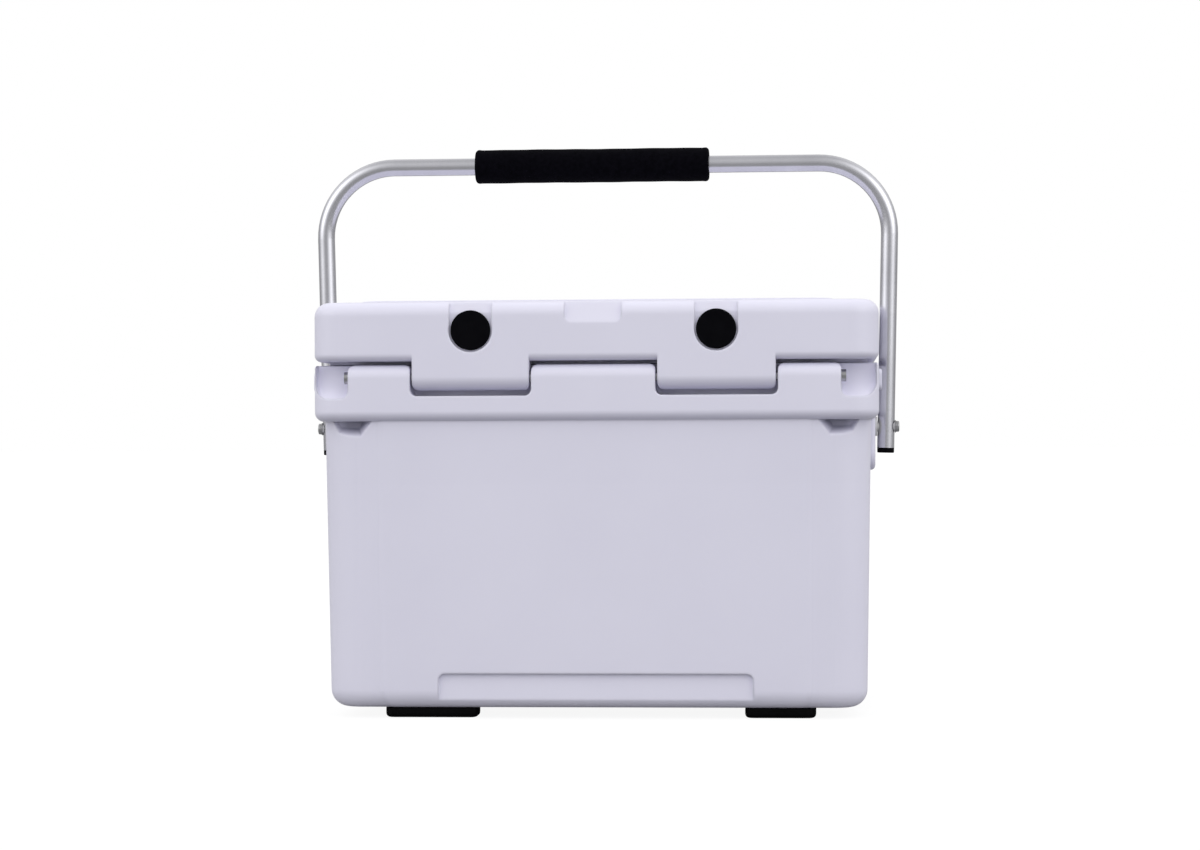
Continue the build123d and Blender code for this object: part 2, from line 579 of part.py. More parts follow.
def lid_shell():
    with BuildPart() as shell:
        with BuildSketch(Plane.XY.offset(LID_BOTTOM)):
            RectangleRounded(WIDTH, DEPTH, CORNER_R)
        extrude(amount=LID_TOP - LID_BOTTOM)
        fillet(shell.edges().group_by(Axis.Z)[-1], LID_UPPER_ROUND)
        fillet(shell.edges().group_by(Axis.Z)[0], LID_LOWER_ROUND)
        # raised panel
        with BuildSketch(Plane.XY.offset(LID_TOP - 1)):
            RectangleRounded(TOP_PANEL_WIDTH, TOP_PANEL_DEPTH, TOP_PANEL_R)
        extrude(amount=TOP_PANEL_H + 1)
        fillet(shell.edges().group_by(Axis.Z)[-1], TOP_PANEL_ROUND)
        # seat that carries the gasket, and the plug that drops into the cavity
        with BuildSketch(Plane.XY.offset(SEAT_Z)):
            with Locations((0, SEAT_Y)):
                RectangleRounded(SEAT_WIDTH, SEAT_DEPTH, SEAT_R)
        extrude(amount=SEAT_H)
        with BuildSketch(Plane.XY.offset(PLUG_Z)):
            RectangleRounded(2 * PLUG_X, 2 * PLUG_Y, PLUG_R)
        extrude(amount=PLUG_H)
        fillet(shell.edges().group_by(Axis.Z)[0], PLUG_ROUND)
        add(gasket_ring(GROOVE_Z, GROOVE_H, 0.0), mode=Mode.SUBTRACT)
        for side in SIDES:
            # knuckle, bored for its sleeve
            add(lid_knuckle(side))
            add(
                side_cylinder(
                    SLEEVE_R, side, KNUCKLE_IN - 1, KNUCKLE_OUT + 1, HINGE_Y, HINGE_Z
                ),
                mode=Mode.SUBTRACT,
            )
            # fill plug pocket and hole
            add(fill_pocket(side), mode=Mode.SUBTRACT)
            with BuildSketch(Plane.XZ.offset(-HALF_DEPTH)):
                with Locations((side * LID_FILL_X, LID_FILL_Z)):
                    Circle(FILL_R)
            extrude(amount=LID_FILL_HOLE_L, mode=Mode.SUBTRACT)
            # latch recess in the front edge, and the pin's bore across it
            with BuildSketch(Plane.XZ.offset(HALF_DEPTH + 1)) as recess:
                with Locations((side * LATCH_X, (LATCH_RECESS_BOTTOM + LATCH_RECESS_TOP) / 2)):
                    Rectangle(LATCH_RECESS_WIDTH, LATCH_RECESS_TOP - LATCH_RECESS_BOTTOM)
                fillet(recess.vertices().group_by(Axis.Y)[-1], LATCH_RECESS_ROUND)
            extrude(amount=-(HALF_DEPTH + 1 - LATCH_RECESS_Y), mode=Mode.SUBTRACT)
            add(latch_pin(side, LATCH_PIN_R + 0.02, LATCH_PIN_HALF + 0.5), mode=Mode.SUBTRACT)
        # finger notch in the rear top edge
        add(
            leaning_cut(0.0, NOTCH_HALF, NOTCH_BOTTOM, NOTCH_LEAN_Z, 0.0, False),
            mode=Mode.SUBTRACT,
        )
        add(lid_foam(0.0), mode=Mode.SUBTRACT)
    return shell.part


LID_PLUG_HEAD_H, LID_PLUG_HEAD_ROUND, LID_PLUG_L = 2.9, 1.0, 14.0


def lid_fill_plug(side):
    seat = Plane.XZ.offset(-(HALF_DEPTH - FILL_POCKET_DEPTH))
    with BuildPart() as plug:
        with BuildSketch(seat):
            with Locations((side * LID_FILL_X, LID_FILL_Z)):
                Circle(FILL_HEAD_R)
        extrude(amount=-LID_PLUG_HEAD_H)
        fillet(plug.edges().group_by(Axis.Y)[-1], LID_PLUG_HEAD_ROUND)
        with BuildSketch(seat):
            with Locations((side * LID_FILL_X, LID_FILL_Z)):
                Circle(FILL_R - FILL_FIT)
        extrude(amount=LID_PLUG_L)
    return plug.part


# ---------------------------------------------------------------- hinge pins and sleeves
def hinge_pin(side):
    head = (BOWL_IN + 0.05, BOWL_IN + PIN_HEAD_H)
    with BuildPart() as pin:
        add(side_cylinder(PIN_R, side, PIN_IN, BOWL_IN + 1, HINGE_Y, HINGE_Z))
        add(side_cylinder(PIN_HEAD_R, side, *head, HINGE_Y, HINGE_Z))
    return pin.part


def hinge_sleeve(side):
    with BuildPart() as sleeve:
        with BuildSketch(Plane.YZ.offset(side * KNUCKLE_IN)):
            with Locations((HINGE_Y, HINGE_Z)):
                Circle(SLEEVE_R - 0.01)
                Circle(PIN_R + 0.06, mode=Mode.SUBTRACT)
        extrude(amount=side * (KNUCKLE_OUT - KNUCKLE_IN))
    return sleeve.part


# ---------------------------------------------------------------- handle
GRIP_L, GRIP_R, GRIP_X, GRIP_ROUND = 210.0, 15.2, 12.0, 3.0
CAP_H, CAP_ROUND, CAP_PLUG_L = 4.5, 1.0, 11.0
BUSH_IN, BUSH_OUT = 240.0, 257.55
FLANGE_R, FLANGE_OUT = 8.5, 241.6
BOLT_IN, BOLT_OUT = 221.0, 259.0
BOLT_HEAD_X, BOLT_HEAD_R, BOLT_HEAD_H, BOLT_ROUND = 258.45, 4.9, 2.95, 1.2
SOCKET_X, SOCKET_R = 259.6, 2.2
WASHER_X, WASHER_R, WASHER_T = 257.6, 5.6, 0.8
INSERT_IN = 215.5


def handle_tube():
    with BuildPart() as tube:
        with BuildLine(Plane.XZ) as bail:
            FilletPolyline(
                (-leg_x(TUBE_END_Z), TUBE_END_Z),
                (-leg_x(BAR_Z), BAR_Z),
                (leg_x(BAR_Z), BAR_Z),
                (leg_x(TUBE_END_Z), TUBE_END_Z),
                radius=BEND_R,
            )
        with BuildSketch(bail.line ^ 0):
            Circle(TUBE_R)
            Circle(TUBE_BORE_R, mode=Mode.SUBTRACT)
        sweep(path=bail.line)
        # bush holes
        for side in SIDES:
            add(
                side_cylinder(BUSH_R + 0.06, side, 236.0, 262.0, 0, PIVOT_Z),
                mode=Mode.SUBTRACT,
            )
    return tube.part


def handle_grip():
    x0, x1 = GRIP_X - GRIP_L / 2, GRIP_X + GRIP_L / 2
    with BuildPart() as grip:
        add(x_cylinder(GRIP_R, x0, x1, 0, BAR_Z))
        fillet(grip.edges(), GRIP_ROUND)
        add(x_cylinder(TUBE_R + 0.02, x0 - 1, x1 + 1, 0, BAR_Z), mode=Mode.SUBTRACT)
    return grip.part


def handle_end_cap(side):
    """Cap pushed into the open end of a leg, in line with the leg."""
    splay = radians(SPLAY)
    end = Plane(
        origin=(side * leg_x(TUBE_END_Z), 0, TUBE_END_Z),
        x_dir=(cos(splay), 0, -side * sin(splay)),
        z_dir=(side * sin(splay), 0, cos(splay)),
    )
    with BuildPart() as cap:
        with BuildSketch(end.offset(-CAP_H)):
            Circle(TUBE_R - 0.05)
        extrude(amount=CAP_H - 0.02)
        fillet(cap.edges().group_by(Axis.Z)[0], CAP_ROUND)
        with BuildSketch(end.offset(-1.0)):
            Circle(TUBE_BORE_R - 0.04)
        extrude(amount=CAP_PLUG_L)
    return cap.part


def handle_bushes():
    with BuildPart() as bushes:
        for side in SIDES:
            add(side_cylinder(BUSH_R, side, BUSH_IN, BUSH_OUT, 0, PIVOT_Z))
            add(side_cylinder(FLANGE_R, side, BUSH_IN, FLANGE_OUT, 0, PIVOT_Z))
            add(
                side_cylinder(BOLT_R + 0.05, side, BUSH_IN - 1, 259.0, 0, PIVOT_Z),
                mode=Mode.SUBTRACT,
            )
    return bushes.part


def handle_bolts():
    with BuildPart() as bolts:
        for side in SIDES:
            add(side_cylinder(BOLT_R, side, BOLT_IN, BOLT_OUT, 0, PIVOT_Z))
            with BuildSketch(Plane.YZ.offset(side * BOLT_HEAD_X)):
                with Locations((0, PIVOT_Z)):
                    Circle(BOLT_HEAD_R)
            extrude(amount=side * BOLT_HEAD_H)
        fillet(bolts.edges().group_by(Axis.X)[-1], BOLT_ROUND)
        fillet(bolts.edges().group_by(Axis.X)[0], BOLT_ROUND)
        # hexagon sockets
        for side in SIDES:
            with BuildSketch(Plane.YZ.offset(side * SOCKET_X)):
                with Locations((0, PIVOT_Z)):
                    RegularPolygon(SOCKET_R, 6)
            extrude(amount=side * 4.0, mode=Mode.SUBTRACT)
    return bolts.part


def pivot_rings(x, length, outer_r, bore_r):
    """A ring on the pivot axis at each side, running outwards from x."""
    with BuildPart() as rings:
        for side in SIDES:
            with BuildSketch(Plane.YZ.offset(side * x)):
                with Locations((0, PIVOT_Z)):
                    Circle(outer_r)
                    Circle(bore_r, mode=Mode.SUBTRACT)
            extrude(amount=side * length)
    return rings.part


def handle_washers():
    return pivot_rings(WASHER_X, WASHER_T, WASHER_R, BOLT_R + 0.1)


def handle_inserts():
    length = BOSS_FACE_X - 0.05 - INSERT_IN
    return pivot_rings(INSERT_IN, length, INSERT_BORE_R - 0.02, BOLT_R + 0.02)


# ---------------------------------------------------------------- latches
LOOP_R, LOOP_HALF = 6.8, 19.0
STRAP_Y, STRAP_T = -149.5, 7.0
STRAP_PARTS = [(34.0, 318.0, 34.0), (14.0, 288.0, 44.0)]  # width, middle Z, height
BULB_R, BULB_HALF, BULB_Y, BULB_Z = 6.2, 16.5, -148.8, 266.4
TAB_Y, TAB_Z, TAB_WIDTH, TAB_H, TAB_T = 148.0, 255.0, 33.0, 24.0, 6.0
TAB_ROUND = 6.0

KEEPER_BACK_Y = POCKET_Y + 0.05
KEEPER_WIDTH = 47.0
PLATE_Z, PLATE_H, PLATE_T, PLATE_R = 286.0, 24.0, 2.5, 2.0
SHELF_FRONT_Y, SHELF_Z, SHELF_T, SHELF_ROUND = 153.5, 274.0, 5.0, 3.0
SLOT_WIDTH, SLOT_DEPTH, SLOT_Y = 16.0, 10.0, -150.5
SCREW_TIP_Y, SCREW_L = 133.0, 11.0
SCREW_HEAD_Y, SCREW_HEAD_R, SCREW_HEAD_H = 143.58, 3.0, 1.8


def latch(side):
    x = side * LATCH_X
    with BuildPart() as strap:
        # loop round the pin
        add(latch_pin(side, LOOP_R, LOOP_HALF))
        # strap, wide above and narrow below
        for width, z, height in STRAP_PARTS:
            with BuildSketch(Plane.YZ.offset(x - width / 2)):
                with Locations((STRAP_Y, z)):
                    Rectangle(STRAP_T, height)
            extrude(amount=width)
        # bulb held under the keeper
        add(x_cylinder(BULB_R, x - BULB_HALF, x + BULB_HALF, BULB_Y, BULB_Z))
        # pull tab
        with BuildSketch(Plane.XZ.offset(TAB_Y)) as tab:
            with Locations((x, TAB_Z)):
                Rectangle(TAB_WIDTH, TAB_H)
            fillet(tab.vertices().group_by(Axis.Y)[0], TAB_ROUND)
        extrude(amount=TAB_T)
        add(latch_pin(side, LATCH_PIN_R + 0.1, LOOP_HALF + 1), mode=Mode.SUBTRACT)
    return strap.part


def latch_pins():
    with BuildPart() as pins:
        for side in SIDES:
            add(latch_pin(side, LATCH_PIN_R, LATCH_PIN_HALF))
    return pins.part


def latch_keepers():
    with BuildPart() as keepers:
        for side in SIDES:
            x = side * LATCH_X
            # back plate
            with BuildSketch(Plane.XZ.offset(KEEPER_BACK_Y)):
                with Locations((x, PLATE_Z)):
                    RectangleRounded(KEEPER_WIDTH, PLATE_H, PLATE_R)
            extrude(amount=PLATE_T)
            # slotted shelf
            with BuildSketch(Plane.XY.offset(SHELF_Z)) as shelf:
                with Locations((x, -(KEEPER_BACK_Y + SHELF_FRONT_Y) / 2)):
                    Rectangle(KEEPER_WIDTH, SHELF_FRONT_Y - KEEPER_BACK_Y)
                fillet(shelf.vertices().group_by(Axis.Y)[0], SHELF_ROUND)
            extrude(amount=SHELF_T)
            with BuildSketch(Plane.XY.offset(SHELF_Z - 1)):
                with Locations((x, SLOT_Y)):
                    Rectangle(SLOT_WIDTH, SLOT_DEPTH)
            extrude(amount=SHELF_T + 2, mode=Mode.SUBTRACT)
            # screw holes
            with BuildSketch(Plane.XZ.offset(POCKET_Y - 1)):
                with Locations(*keeper_screw_spots(side)):
                    Circle(KEEPER_HOLE_R + 0.1)
            extrude(amount=5.0, mode=Mode.SUBTRACT)
    return keepers.part


def keeper_screws():
    with BuildPart() as screws:
        for side in SIDES:
            with BuildSketch(Plane.XZ.offset(SCREW_TIP_Y)):
                with Locations(*keeper_screw_spots(side)):
                    Circle(KEEPER_SCREW_R)
            extrude(amount=SCREW_L)
            with BuildSketch(Plane.XZ.offset(SCREW_HEAD_Y)):
                with Locations(*keeper_screw_spots(side)):
                    Circle(SCREW_HEAD_R)
            extrude(amount=SCREW_HEAD_H)
    return screws.part


# ---------------------------------------------------------------- feet
FOOT_CORNER_R, FOOT_ROUND = 7.0, 3.5
FOOT_BORE_R, COUNTERBORE_R, COUNTERBORE_H = 2.1, 4.6, 5.0
FOOT_HEAD_Z, FOOT_HEAD_R, FOOT_HEAD_H = 2.4, 4.2, 2.5
FOOT_SHANK_Z, FOOT_SHANK_R, FOOT_SHANK_L = 4.0, 1.98, 17.0


def foot(ends, end):
    """Foot between two X ends, at the rear (1) or front (-1)."""
    with BuildPart() as block:
        with BuildSketch(Plane.XY):
            with Locations((sum(ends) / 2, end * FOOT_Y)):
                RectangleRounded(ends[1] - ends[0], FOOT_DEPTH, FOOT_CORNER_R)
        extrude(amount=BASE_Z - 0.02)
        fillet(block.edges().group_by(Axis.Z)[0], FOOT_ROUND)
        for radius, height in ((FOOT_BORE_R, BASE_Z), (COUNTERBORE_R, COUNTERBORE_H)):
            with BuildSketch(Plane.XY):
                with Locations(*foot_screw_spots(ends, end)):
                    Circle(radius)
            extrude(amount=height, mode=Mode.SUBTRACT)
    return block.part


def foot_screws():
    with BuildPart() as screws:
        with BuildSketch(Plane.XY.offset(FOOT_HEAD_Z)):
            with Locations(*ALL_FOOT_SCREWS):
                Circle(FOOT_HEAD_R)
        extrude(amount=FOOT_HEAD_H)
        with BuildSketch(Plane.XY.offset(FOOT_SHANK_Z)):
            with Locations(*ALL_FOOT_SCREWS):
                Circle(FOOT_SHANK_R)
        extrude(amount=FOOT_SHANK_L)
    return screws.part


# ---------------------------------------------------------------- write every piece
def write(name, part):
    part.label = name
    export_step(part, f"parts/{name}.step")


write("tub_foam_core", tub_foam(FOAM_GAP))
write("lid_foam_core", lid_foam(FOAM_GAP))
write("lid_gasket", gasket_ring(GROOVE_Z + 0.02, GROOVE_H - 0.1, 0.2))

for make in (
    tub_shell, tub_fill_plugs, lid_shell, handle_tube, handle_grip, handle_bushes,
    handle_bolts, handle_washers, handle_inserts, latch_pins, latch_keepers,
    keeper_screws, foot_screws,
):
    write(make.__name__, make())

for side, hand, ends in ((1, "left", FOOT_LEFT), (-1, "right", FOOT_RIGHT)):
    for make in (lid_fill_plug, hinge_pin, hinge_sleeve, handle_end_cap, latch):
        write(f"{make.__name__}_{hand}", make(side))
    write(f"foot_front_{hand}", foot(ends, -1))
    write(f"foot_rear_{hand}", foot(ends, 1))
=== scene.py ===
"""Looks, floor, light and camera for a white insulated box with a lid, handle and latches.

Metres, +Z up. The box stands on z = 0, long side along X; the camera looks at its +Y side.
The handle's tube and grip run along X.
"""
import math
from functools import cached_property

import bmesh
import bpy
from mathutils import Matrix, Vector


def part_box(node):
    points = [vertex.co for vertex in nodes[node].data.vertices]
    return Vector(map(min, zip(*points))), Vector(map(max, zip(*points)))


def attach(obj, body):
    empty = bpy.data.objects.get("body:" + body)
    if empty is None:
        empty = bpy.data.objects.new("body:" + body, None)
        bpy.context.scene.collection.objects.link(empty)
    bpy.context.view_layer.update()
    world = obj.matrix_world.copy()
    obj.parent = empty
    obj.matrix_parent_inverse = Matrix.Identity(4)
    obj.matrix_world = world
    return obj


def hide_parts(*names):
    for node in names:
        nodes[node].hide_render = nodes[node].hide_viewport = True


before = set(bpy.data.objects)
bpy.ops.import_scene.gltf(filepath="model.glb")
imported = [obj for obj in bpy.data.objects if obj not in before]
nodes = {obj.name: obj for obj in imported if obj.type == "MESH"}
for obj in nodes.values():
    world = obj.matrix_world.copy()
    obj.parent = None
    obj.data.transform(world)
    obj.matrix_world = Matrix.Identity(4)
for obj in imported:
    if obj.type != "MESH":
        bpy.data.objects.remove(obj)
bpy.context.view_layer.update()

scene = bpy.context.scene


# ------------------------------------------------------------------ node helpers
class NodeTree:
    """The emptied node tree of a material or world, with short calls to fill it."""

    def __init__(self, owner):
        owner.use_nodes = True
        self.tree = owner.node_tree
        self.tree.nodes.clear()

    def add(self, kind, **properties):
        node = self.tree.nodes.new("ShaderNode" + kind)
        for name, value in properties.items():
            setattr(node, name, value)
        return node

    def feed(self, socket, value):
        """Link an output to the socket, or set the socket to a plain value."""
        if isinstance(value, bpy.types.NodeSocket):
            self.tree.links.new(value, socket)
        else:
            socket.default_value = value

    def math(self, operation, first, second=None, clamp=False):
        node = self.add("Math", operation=operation, use_clamp=clamp)
        self.feed(node.inputs[0], first)
        if second is not None:
            self.feed(node.inputs[1], second)
        return node.outputs[0]

    def mix_colour(self, factor, first, second, blend="MIX"):
        node = self.add("Mix", data_type="RGBA", blend_type=blend)
        # sockets 6 and 7 are the colour inputs, output 2 the colour result
        for index, value in ((0, factor), (6, first), (7, second)):
            self.feed(node.inputs[index], value)
        return node.outputs[2]


class Finish(NodeTree):
    """A material with one Principled shader, textured in object space."""

    def __init__(self, name):
        self.material = bpy.data.materials.new(name)
        super().__init__(self.material)
        output = self.add("OutputMaterial")
        self.shader = self.add("BsdfPrincipled")
        self.feed(output.inputs["Surface"], self.shader.outputs["BSDF"])

    @cached_property
    def coordinates(self):
        return self.add("TexCoord").outputs["Object"]

    def set(self, name, value):
        self.feed(self.shader.inputs[name], value)

    def noise(self, scale, detail=3.0):
        node = self.add("TexNoise")
        node.inputs["Scale"].default_value = scale
        node.inputs["Detail"].default_value = detail
        self.feed(node.inputs["Vector"], self.coordinates)
        return node.outputs["Fac"]

    def two_tone(self, dark, light, scale, detail=3.0):
        """Two colours blended by noise."""
        ramp = self.add("ValToRGB")
        stops = ramp.color_ramp.elements
        for stop, position, colour in zip(stops, (0.3, 0.7), (dark, light)):
            stop.position = position
            stop.color = (*colour, 1)
        self.feed(ramp.inputs["Fac"], self.noise(scale, detail))
        return ramp.outputs["Color"]

    def paint(self, dark, light, scale, detail=3.0):
        self.set("Base Color", self.two_tone(dark, light, scale, detail))

    def roughen(self, low, high, scale, detail=3.0):
        """Roughness that varies between two values with noise."""
        spread = self.add("MapRange")
        spread.inputs["To Min"].default_value = low
        spread.inputs["To Max"].default_value = high
        self.feed(spread.inputs["Value"], self.noise(scale, detail))
        self.set("Roughness", spread.outputs["Result"])

    def bump(self, height, strength, distance, normal=None):
        node = self.add("Bump")
        node.inputs["Strength"].default_value = strength
        node.inputs["Distance"].default_value = distance
        self.feed(node.inputs["Height"], height)
        if normal is not None:
            self.feed(node.inputs["Normal"], normal)
        return node.outputs["Normal"]

    def bevel(self, radius, samples=6):
        node = self.add("Bevel", samples=samples)
        node.inputs["Radius"].default_value = radius
        return node.outputs["Normal"]


# ------------------------------------------------------------------ white plastic
# Painted shade deep in the scoops under the rim. The scoops: a rounded wall about a corner axis,
# widening with height
SCOOP_AXIS_X, SCOOP_AXIS_Y = 0.2024, 0.1156
SCOOP_RADIUS_AT_FLOOR = 0.02714
SCOOP_RADIUS_PER_HEIGHT = 0.01798
SCOOP_FADE = 0.0085             # depth at which the painted shade is full
SCOOP_MIN_X, SCOOP_MIN_Y = 0.180, 0.130
SCOOP_Z = (0.2385, 0.2630)
# strength of the painted shade deep in the scoops
SCOOP_PAINTED_SHADE = 0.57

# Painted shade on the undersides of rim and lid
UNDERSIDE_MIN_Z = 0.20
UNDERSIDE_SLOPE_GAIN = -1.2     # times the normal's z
# strength of the painted shade on faces that look down
UNDERSIDE_PAINTED_SHADE = 0.24

# Painted light in the open corner recesses on the +Y side
RECESS_X = (0.2098, 0.2388)
RECESS_Y = (0.1305, 0.1546)
RECESS_Z = (0.2732, 0.3015)
RECESS_AXIS_X, RECESS_AXIS_Y = 0.2175, 0.1310
RECESS_RADIUS = 0.0236
# strength of the painted light in the corner recesses
RECESS_PAINTED_LIGHT = 0.14

PAINTED_SHADE_BLUE_POWER = 0.88               # below 1: where shade is painted, the plastic turns slightly blue


def painted_light_and_shade(finish):
    """Painted shade and painted light on the white plastic, as a factor by place and by surface
    direction.
    """
    calc = finish.math

    def product(first, second):
        return calc("MULTIPLY", first, second)

    def between(value, limits):
        low, high = limits
        return product(calc("GREATER_THAN", value, low), calc("LESS_THAN", value, high))

    def length(x, y):
        return calc("SQRT", calc("ADD", product(x, x), product(y, y)))

    def beyond(value, start):
        return calc("MAXIMUM", calc("SUBTRACT", value, start), 0.0)

    geometry = finish.add("NewGeometry")
    position = finish.add("SeparateXYZ")
    finish.feed(position.inputs[0], geometry.outputs["Position"])
    normal = finish.add("SeparateXYZ")
    finish.feed(normal.inputs[0], geometry.outputs["Normal"])
    y, z = position.outputs[1], position.outputs[2]
    side_x = calc("ABSOLUTE", position.outputs[0])
    side_y = calc("ABSOLUTE", y)

    # painted shade deep in the scoops
    reach = length(beyond(side_x, SCOOP_AXIS_X), calc("SUBTRACT", side_y, SCOOP_AXIS_Y))
    wall = calc("ADD", SCOOP_RADIUS_AT_FLOOR, product(z, SCOOP_RADIUS_PER_HEIGHT))
    depth = calc("MULTIPLY", calc("SUBTRACT", wall, reach), 1.0 / SCOOP_FADE, clamp=True)
    zone = product(
        calc("GREATER_THAN", side_y, SCOOP_MIN_Y), calc("GREATER_THAN", side_x, SCOOP_MIN_X))
    zone = product(zone, between(z, SCOOP_Z))
    painted_scoop_shade = product(product(depth, zone), SCOOP_PAINTED_SHADE)

    # painted shade on faces that look down; the product with 1 only clamps
    facing_down = product(normal.outputs[2], UNDERSIDE_SLOPE_GAIN)
    facing_down = calc("MULTIPLY", facing_down, 1.0, clamp=True)
    under = product(facing_down, calc("GREATER_THAN", z, UNDERSIDE_MIN_Z))
    under = product(under, UNDERSIDE_PAINTED_SHADE)
    painted_brightness = product(calc("SUBTRACT", 1.0, painted_scoop_shade), calc("SUBTRACT", 1.0, under))

    # painted light in the corner recesses
    painted_light_zone = product(between(side_x, RECESS_X), between(y, RECESS_Y))
    painted_light_zone = product(painted_light_zone, between(z, RECESS_Z))
    from_axis = length(beyond(side_x, RECESS_AXIS_X), beyond(side_y, RECESS_AXIS_Y))
    painted_light_zone = product(painted_light_zone, calc("LESS_THAN", from_axis, RECESS_RADIUS))
    return product(painted_brightness, calc("ADD", 1.0, product(painted_light_zone, RECESS_PAINTED_LIGHT)))


def white_polyethylene():
    finish = Finish("white_polyethylene")
    tint = finish.two_tone(
        dark=(0.768, 0.757, 0.890), light=(0.792, 0.781, 0.912), scale=9.0, detail=4.0)
    # painted shade and painted light, multiplied into the base colour
    painted_brightness = painted_light_and_shade(finish)
    shade = finish.add("CombineColor")
    # blue channel raised to a power, so the painted shade turns a little blue
    blue = finish.math("POWER", painted_brightness, PAINTED_SHADE_BLUE_POWER)
    for socket, value in zip(shade.inputs, (painted_brightness, painted_brightness, blue)):
        finish.feed(socket, value)
    finish.set("Base Color", finish.mix_colour(
        factor=1.0, first=tint, second=shade.outputs[0], blend="MULTIPLY"))
    finish.roughen(low=0.30, high=0.42, scale=60.0, detail=5.0)
    finish.set("Specular IOR Level", 0.45)
    finish.set("Coat Weight", 0.10)
    finish.set("Coat Roughness", 0.25)
    soft_edges = finish.bevel(radius=0.0030, samples=8)
    waves = finish.bump(
        finish.noise(scale=22.0, detail=2.0), strength=0.10, distance=0.0006, normal=soft_edges)
    grain = finish.bump(
        finish.noise(scale=1400.0, detail=2.0), strength=0.06, distance=0.00012, normal=waves)
    finish.set("Normal", grain)
    return finish.material


# ------------------------------------------------------------------ other materials
def black_moulded_plastic():
    finish = Finish("black_moulded_plastic")
    finish.paint(dark=(0.0012, 0.0011, 0.0022), light=(0.0024, 0.0023, 0.0036), scale=120.0)
    finish.roughen(low=0.36, high=0.50, scale=300.0)
    finish.set("Specular IOR Level", 0.04)
    finish.set("Normal", finish.bump(
        finish.noise(scale=1800.0, detail=2.0), strength=0.12, distance=0.0001,
        normal=finish.bevel(radius=0.0008)))
    return finish.material


def black_rubber():
    finish = Finish("black_rubber")
    finish.paint(
        dark=(0.0010, 0.0010, 0.0014), light=(0.0022, 0.0022, 0.0028), scale=80.0, detail=4.0)
    finish.roughen(low=0.50, high=0.66, scale=220.0)
    finish.set("Specular IOR Level", 0.07)
    finish.set("Normal", finish.bump(finish.noise(scale=900.0), strength=0.25, distance=0.00025))
    return finish.material


def black_latch_rubber():
    """Smoother than the other rubber, with more sheen."""
    finish = Finish("black_latch_rubber")
    finish.paint(
        dark=(0.0085, 0.0085, 0.0090), light=(0.0130, 0.0130, 0.0136), scale=80.0, detail=4.0)
    finish.roughen(low=0.40, high=0.54, scale=220.0)
    finish.set("Specular IOR Level", 0.38)
    finish.set("Normal", finish.bump(finish.noise(scale=900.0), strength=0.18, distance=0.00020))
    return finish.material


def black_foam():
    """Closed-cell foam."""
    finish = Finish("black_foam")
    cells = finish.add("TexVoronoi")
    cells.inputs["Scale"].default_value = 1300.0
    finish.feed(cells.inputs["Vector"], finish.coordinates)
    finish.paint(
        dark=(0.0010, 0.0009, 0.0020), light=(0.0026, 0.0023, 0.0044), scale=260.0, detail=5.0)
    finish.set("Roughness", 0.88)
    finish.set("Specular IOR Level", 0.035)
    cell_relief = finish.bump(cells.outputs["Distance"], strength=0.35, distance=0.0003)
    finish.set("Normal", finish.bump(
        finish.noise(scale=500.0, detail=4.0), strength=0.4, distance=0.0004,
        normal=cell_relief))
    return finish.material


def anodised_aluminium():
    finish = Finish("anodised_aluminium")
    finish.set("Metallic", 1.0)
    finish.paint(dark=(0.565, 0.565, 0.605), light=(0.625, 0.625, 0.665), scale=35.0, detail=4.0)
    finish.roughen(low=0.20, high=0.28, scale=500.0, detail=4.0)
    finish.set("Normal", finish.bump(
        finish.noise(scale=2600.0, detail=2.0), strength=0.10, distance=0.00008))
    return finish.material


def stainless_steel():
    finish = Finish("stainless_steel")
    finish.set("Metallic", 1.0)
    finish.paint(dark=(0.32, 0.32, 0.33), light=(0.44, 0.44, 0.45), scale=300.0)
    finish.roughen(low=0.22, high=0.38, scale=900.0)
    finish.set("Normal", finish.bevel(radius=0.0004))
    return finish.material


def brass():
    finish = Finish("brass")
    finish.set("Metallic", 1.0)
    finish.paint(dark=(0.55, 0.42, 0.18), light=(0.66, 0.52, 0.25), scale=400.0)
    finish.roughen(low=0.25, high=0.4, scale=900.0)
    return finish.material


def white_nylon():
    finish = Finish("white_nylon")
    finish.paint(dark=(0.60, 0.60, 0.60), light=(0.68, 0.68, 0.68), scale=200.0)
    finish.roughen(low=0.38, high=0.5, scale=500.0)
    return finish.material


def insulating_foam():
    finish = Finish("insulating_foam")
    finish.paint(dark=(0.62, 0.50, 0.25), light=(0.74, 0.62, 0.36), scale=150.0, detail=5.0)
    finish.set("Roughness", 0.95)
    finish.set("Normal", finish.bump(
        finish.noise(scale=400.0, detail=4.0), strength=0.6, distance=0.0008))
    return finish.material


white = white_polyethylene()
black = black_moulded_plastic()
rubber = black_rubber()
latch_rubber = black_latch_rubber()
foam = black_foam()
aluminium = anodised_aluminium()

FEET = ("foot_front_left", "foot_front_right", "foot_rear_left", "foot_rear_right")

# material, then the CAD pieces that wear it
FINISHES = (
    (white, ("tub_shell", "lid_shell")),
    (black, ("tub_fill_plugs", "lid_fill_plug_left", "lid_fill_plug_right",
             "handle_end_cap_left", "handle_end_cap_right", "latch_keepers")),
    (rubber, ("lid_gasket", "latch_left", "latch_right", *FEET)),
    (foam, ("handle_grip",)),
    (aluminium, ("handle_tube",)),
    (stainless_steel(), ("hinge_pin_left", "hinge_pin_right", "handle_bolts", "handle_washers",
                         "latch_pins", "keeper_screws", "foot_screws")),
    (brass(), ("handle_inserts",)),
    (white_nylon(), ("hinge_sleeve_left", "hinge_sleeve_right", "handle_bushes")),
    (insulating_foam(), ("tub_foam_core", "lid_foam_core")),
)
for material, pieces in FINISHES:
    for piece in pieces:
        slots = nodes[piece].data.materials
        slots.clear()
        slots.append(material)


